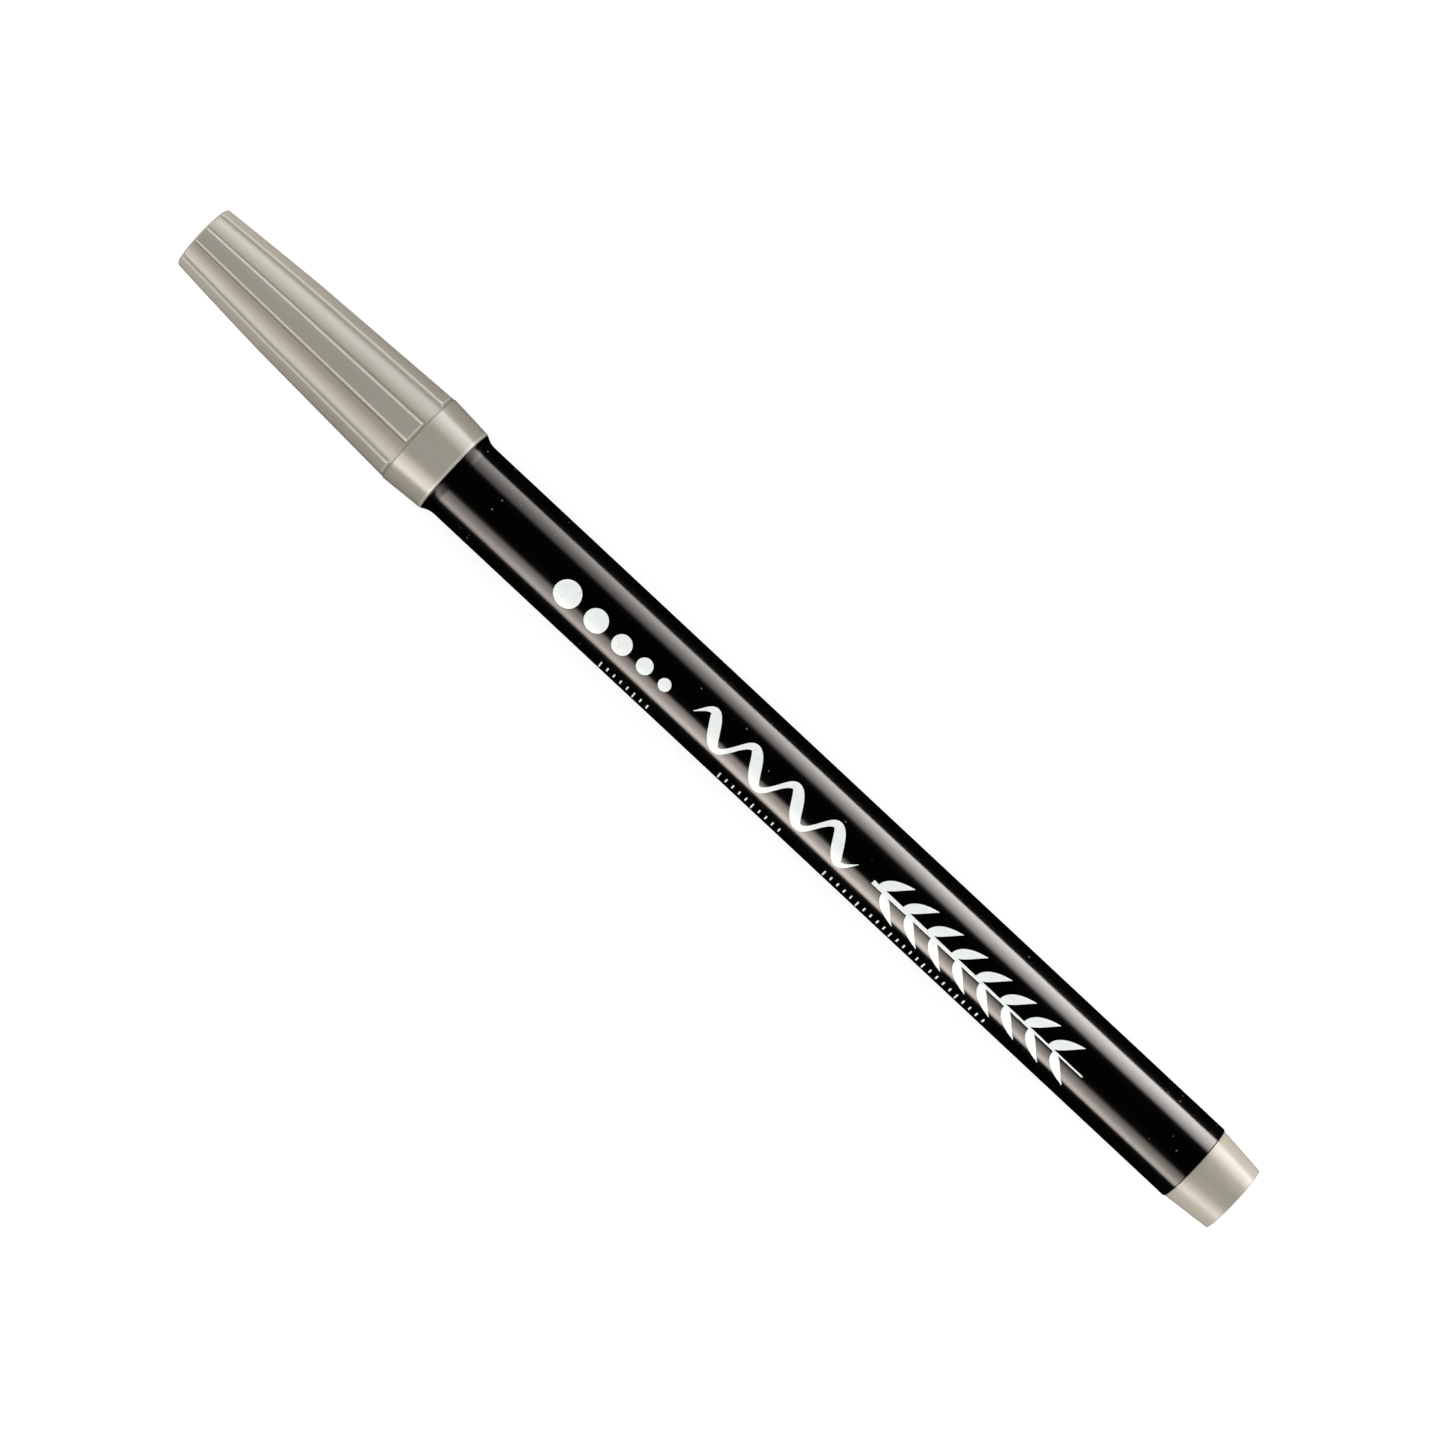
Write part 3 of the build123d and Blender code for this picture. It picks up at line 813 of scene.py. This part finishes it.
def add_stroke(shape, line):
    """One closed brush stroke along a line of (x, around, half width) points."""
    across = (-1.0, -0.9, -0.45, 0.0, 0.45, 0.9, 1.0)
    heights = (0.4, 0.9, 1.0, 1.0, 1.0, 0.9, 0.4)
    tops, bottoms = [], []
    for i, (x, around, half_width) in enumerate(line):
        start, end = line[max(0, i - 1)], line[min(len(line) - 1, i + 1)]
        along = Vector((end[0] - start[0], end[1] - start[1])).normalized()
        top, bottom = [], []
        for share, height in zip(across, heights):
            side_x = x - along.y * half_width * share
            side_around = around + along.x * half_width * share
            top.append(shape.verts.new(on_barrel(side_x, side_around, PRINT_TOP * height)))
            bottom.append(shape.verts.new(on_barrel(side_x, side_around, -PRINT_SINK)))
        tops.append(top)
        bottoms.append(bottom)
    last = len(across) - 1
    for i in range(len(line) - 1):
        for j in range(last):
            shape.faces.new((tops[i][j], tops[i + 1][j], tops[i + 1][j + 1], tops[i][j + 1]))
            shape.faces.new((bottoms[i][j], bottoms[i][j + 1], bottoms[i + 1][j + 1], bottoms[i + 1][j]))
        for j in (0, last):
            shape.faces.new((tops[i][j], bottoms[i][j], bottoms[i + 1][j], tops[i + 1][j]))
    for i in (0, len(line) - 1):
        for j in range(last):
            shape.faces.new((tops[i][j], tops[i][j + 1], bottoms[i][j + 1], bottoms[i][j]))


def dot(x, around, radius):
    """A round dot as a stroke line."""
    steps = 20
    line = []
    for i in range(steps + 1):
        angle = math.pi * i / steps
        line.append((x - radius * math.cos(angle), around, max(0.02 * MM, radius * math.sin(angle))))
    return line


def dab(start, end, half_width, bend):
    """A pointed brush dab from start to end, bowed sideways by bend."""
    steps = 18
    skew, fullness = 0.8, 0.85  # below 1, these move the broadest part to the start and fill the ends
    line = []
    for i in range(steps + 1):
        t = i / steps
        swell = math.sin(math.pi * t**skew) ** fullness if 0 < t < 1 else 0.0
        bow = bend * 4 * t * (1 - t)
        x = start[0] + (end[0] - start[0]) * t + bow
        around = start[1] + (end[1] - start[1]) * t
        line.append((x, around, max(0.03 * MM, half_width * swell)))
    return line


def wave(start_x, end_x, around, height, turns):
    """A calligraphic wave, broad on its downstrokes and fine at both ends."""
    steps = 150
    end_share, end_height, end_fullness = 0.08, 0.7, 0.6
    least, fine, swell = 0.04 * MM, 0.24 * MM, 0.2 * MM
    line = []
    for i in range(steps + 1):
        t = i / steps
        phase = 2 * math.pi * turns * t
        ends = min(1.0, t / end_share, (1 - t) / end_share)
        rise = height * (end_height + (1 - end_height) * ends)
        breadth = fine + swell * (1 - math.cos(phase))
        line.append(
            (
                start_x + (end_x - start_x) * t,
                around + rise * math.sin(phase),
                max(least, breadth * ends**end_fullness),
            )
        )
    return line


def dots():
    """Five round dots that fall in size, for the widths of line that a nib draws."""
    x, around, gap = -20.65 * MM, -1.25 * MM, 1.1 * MM
    lines = []
    for i in range(5):
        radius = (1.5 - 0.2 * i) * MM
        lines.append(dot(x + radius, around, radius))
        x += 2 * radius + gap
    return lines


def sprig():
    """A stem that thins towards its tip, with pairs of leaf-shaped dabs."""
    stem_x, stem_length, stem_steps = 22.5 * MM, 28.4 * MM, 40
    stem_around, stem_half_width, thinning = -1.4 * MM, 0.24 * MM, 0.004 * MM
    leaf_half_width, leaf_bend = 0.52 * MM, -0.35 * MM
    lines = [
        [
            (stem_x + stem_length * i / stem_steps, stem_around, stem_half_width - thinning * i)
            for i in range(stem_steps + 1)
        ]
    ]
    for i in range(8):
        foot = (23.2 + 3.3 * i) * MM
        for start, end in (
            ((foot, -1.5 * MM), (foot + 2.9 * MM, 0.9 * MM)),
            ((foot + 0.8 * MM, -1.3 * MM), (foot + 3.7 * MM, -3.8 * MM)),
        ):
            lines.append(dab(start, end, leaf_half_width, leaf_bend))
    return lines


def ticks():
    """Three rows of fine ticks low on the side, every fifth one longer."""
    foot, half_width, spacing = -4.6 * MM, 0.09 * MM, 0.9 * MM
    lines = []
    for first_x, count in ((-12.1 * MM, 8), (4.1 * MM, 10), (18.4 * MM, 25)):
        for i in range(count):
            length = (1.3 if i % 5 == 0 else 0.8) * MM
            x = first_x + spacing * i
            lines.append([(x, foot - length * share, half_width) for share in (0, 0.5, 1)])
    return lines


def make_print(material):
    swash = wave(-2.1 * MM, 20.3 * MM, -1.15 * MM, 1.5 * MM, 4)
    mesh = bpy.data.meshes.new("barrel_print")
    shape = bmesh.new()
    for stroke in [*dots(), swash, *sprig(), *ticks()]:
        add_stroke(shape, stroke)
    bmesh.ops.recalc_face_normals(shape, faces=shape.faces)
    shape.to_mesh(mesh)
    shape.free()
    printed = bpy.data.objects.new("barrel_print", mesh)
    bpy.context.scene.collection.objects.link(printed)
    return place(printed, "barrel", "barrel_print", material)


# ---- Pieces ----

grey = cap_plastic()
make_cap_shell(grey)
make_cap_liner(liner_plastic())
make_barrel(barrel_plastic())
make_nib_holder(holder_plastic())
make_brush_nib(fibre("nib_fibre", (0.36, 0.345, 0.31), (0.13, 0.124, 0.112), 0.1 * MM, 30, 0.01 * MM))
make_end_plug(grey)
make_print(print_ink())

bundle = fibre("reservoir_fibre", (0.42, 0.4, 0.36), (0.2, 0.19, 0.17), 0.12 * MM, 40, 0.02 * MM)
inner_materials = {  # for the pieces that keep their CAD shape
    "ink_reservoir": bundle,
    "reservoir_film": creased_plastic("film_plastic", (0.72, 0.74, 0.75), 0.25),
    "breather_tube": creased_plastic("tube_plastic", (0.78, 0.78, 0.76), 0.35),
}
for name, material in inner_materials.items():
    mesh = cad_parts[name].data
    mesh.materials.clear()
    mesh.materials.append(material)

# ---- Floor, light and camera ----

FLOOR_SIZE = 6.0
FLOOR_DROP = 0.02 * MM  # the gap that keeps the floor off the marker
FLOOR_GLOW = 0.75


def make_floor():
    """A pale sweep just under the cap's ribs in front and the barrel's edge behind, where they rest."""
    front_x = CAP_END_X + FLANK_LENGTH
    rear_lift = AXIS_HEIGHT - BARREL_RADIUS
    slope = rear_lift / (BARREL_REAR_X - front_x)
    count = 24
    mesh = bpy.data.meshes.new("floor")
    shape = bmesh.new()
    bmesh.ops.create_grid(shape, x_segments=count, y_segments=count, size=FLOOR_SIZE / 2)
    for vert in shape.verts:
        vert.co.z = (vert.co.x - front_x) * slope - FLOOR_DROP
    shape.to_mesh(mesh)
    shape.free()
    floor = bpy.data.objects.new("floor", mesh)
    bpy.context.scene.collection.objects.link(floor)
    material, tree, shader, coords = start_material("floor_paper", 0.9, 0.0)
    tint = mixed(tree, noise(tree, coords, 0.4), rgb(0.35, 0.35, 0.35), rgb(0.36, 0.36, 0.36))
    feed(tree, shader, Base_Color=tint)
    shader.inputs["Emission Color"].default_value = rgb(1, 1, 1)
    shader.inputs["Emission Strength"].default_value = FLOOR_GLOW
    mesh.materials.append(material)
    floor.visible_glossy = False


def make_light(name, centre, facing, size, radiance, tint, along=(), up=(), roll=0.0):
    """An area light facing along an axis, of this size across and up, and turned by roll about its middle.

    along and up list (share, level) stops of its brightness, towards +X and from bottom to top.
    """
    data = bpy.data.lights.new(name, "AREA")
    data.shape = "RECTANGLE"
    data.size, data.size_y = size
    data.energy = 4 * radiance * data.size * data.size_y  # radiance is energy over 4 times the area
    data.color = tint
    back = -Vector(facing)
    upward = Vector((0, 0, 1)) if back.z == 0 else Vector((0, 1, 0))
    across = upward.cross(back)
    light = bpy.data.objects.new(name, data)
    turn = Matrix((across, upward, back)).transposed().to_4x4()
    light.matrix_world = Matrix.Translation(centre) @ turn @ Matrix.Rotation(roll, 4, "Z")
    light.visible_camera = False
    bpy.context.scene.collection.objects.link(light)
    if across.x < 0:
        along = [(1 - share, level) for share, level in reversed(along)]
    if along:
        data.use_nodes = True
        tree = data.node_tree
        place_on_light = node(tree, "ShaderNodeNewGeometry").outputs["Parametric"]
        parts = node(tree, "ShaderNodeSeparateXYZ", {"Vector": place_on_light}).outputs
        sideways = brightness_ramp(tree, parts["X"], along)
        upwards = brightness_ramp(tree, parts["Y"], up)
        strength = maths(tree, "MULTIPLY", sideways, upwards)
        tree.links.new(strength, tree.nodes["Emission"].inputs["Strength"])
    return light


def brightness_ramp(tree, share, stops):
    """The level that a smooth curve through the (share, level) stops has at this share."""
    ramp = node(tree, "ShaderNodeValToRGB", {"Fac": share})
    ramp.color_ramp.interpolation = "CARDINAL"
    elements = ramp.color_ramp.elements
    elements[0].position, elements[1].position = stops[0][0], stops[-1][0]
    for position, _ in stops[1:-1]:
        elements.new(position)
    for element, (_, level) in zip(elements, stops):
        element.color = rgb(level, level, level)
    return ramp.outputs["Color"]


def make_world():
    """Pale behind everything, and nearly black for light and reflections."""
    world = bpy.data.worlds.new("studio")
    world.use_nodes = True
    tree = world.node_tree
    seen = node(tree, "ShaderNodeLightPath").outputs["Is Camera Ray"]
    background = tree.nodes["Background"]
    color = mixed(tree, seen, rgb(0.003, 0.003, 0.003), rgb(0.9, 0.9, 0.9))
    tree.links.new(color, background.inputs["Color"])
    bpy.context.scene.world = world


make_floor()
make_world()

# The side lights give the long reflections and nothing else
SIDE_DISTANCE = 0.45
SIDE_LOW, SIDE_HIGH = 0.035, 0.62
SIDE_WIDTH = 1.2


def make_side_light(name, side, **look):
    """A tall light beside the marker, towards +Y where side is 1 and towards -Y where it is -1."""
    centre = (0, side * SIDE_DISTANCE, (SIDE_LOW + SIDE_HIGH) / 2)
    light = make_light(name, centre, (0, -side, 0), (SIDE_WIDTH, SIDE_HIGH - SIDE_LOW), **look)
    light.visible_diffuse = False


make_side_light(
    "side_light_left",
    1,
    radiance=16.0,
    tint=(1.0, 0.94, 0.9),
    along=(
        (0.0, 0.24),
        (0.35, 0.27),
        (0.4, 0.37),
        (0.44, 0.245),
        (0.5, 0.43),
        (0.55, 0.77),
        (0.61, 0.98),
        (0.65, 0.63),
        (0.7, 0.4),
        (0.77, 0.25),
        (1.0, 0.15),
    ),
    up=((0.0, 0.78), (0.15, 0.75), (0.33, 0.58), (0.5, 0.42), (0.68, 0.24), (0.8, 0.03), (1.0, 0.0)),
    roll=math.radians(9),
)
make_side_light(
    "side_light_right",
    -1,
    radiance=12.0,
    tint=(1.0, 0.9, 0.82),
    along=(
        (0.0, 0.3),
        (0.36, 0.36),
        (0.44, 0.5),
        (0.5, 0.96),
        (0.525, 1.0),
        (0.575, 0.64),
        (0.61, 0.54),
        (0.7, 0.36),
        (0.77, 0.22),
        (1.0, 0.12),
    ),
    up=((0.0, 0.5), (0.12, 0.95), (0.33, 0.63), (0.5, 0.45), (0.68, 0.26), (0.8, 0.03), (1.0, 0.0)),
    roll=math.radians(3),
)

# The fills give the even light and the shadow, and leave no reflections
FILL_TINT = (0.985, 0.99, 1.0)
WALL = (1.6, 0.7)
CARD = (0.03, 0.011)
fills = {  # centre, facing, size, radiance
    "top_light": ((0, 0, 1.2), (0, 0, -1), (1.6, 1.6), 1.43),
    "fill_left": ((0, 0.9, 0.36), (0, -1, 0), WALL, 0.4),
    "fill_cap_end": ((-0.9, 0, 0.36), (1, 0, 0), WALL, 1.5),
    "fill_plug_end": ((0.9, 0, 0.36), (-1, 0, 0), WALL, 2.0),
    "cap_card_left": ((-0.085, 0.03, 0.006), (0, -1, 0), CARD, 6.5),
    "cap_card_right": ((-0.085, -0.03, 0.006), (0, 1, 0), CARD, 5.5),
    "plug_card_left": ((0.085, 0.05, 0.006), (0, -1, 0), CARD, 26.0),
    "plug_card_right": ((0.085, -0.05, 0.006), (0, 1, 0), CARD, 17.0),
}
for name, (centre, facing, size, radiance) in fills.items():
    make_light(name, centre, facing, size, radiance, FILL_TINT).visible_glossy = False

CAMERA_HEIGHT = 0.60
CAMERA_X, AIM_X = 7 * MM, 0.05 * MM
CAMERA_TURN = math.radians(43.05)
FRAME_WIDTH = 143.5 * MM
camera_data = bpy.data.cameras.new("camera")
camera_data.sensor_width = 36
camera_data.lens = camera_data.sensor_width * CAMERA_HEIGHT / FRAME_WIDTH
camera_data.clip_start, camera_data.clip_end = 0.01, 20
camera = bpy.data.objects.new("camera", camera_data)
lean = math.atan((CAMERA_X - AIM_X) / CAMERA_HEIGHT)
turn = Matrix.Rotation(lean, 4, "Y") @ Matrix.Rotation(CAMERA_TURN, 4, "Z")
camera.matrix_world = Matrix.Translation((CAMERA_X, 0, AXIS_HEIGHT + CAMERA_HEIGHT)) @ turn
bpy.context.scene.collection.objects.link(camera)
bpy.context.scene.camera = camera
bpy.context.scene.view_settings.view_transform = "Standard"
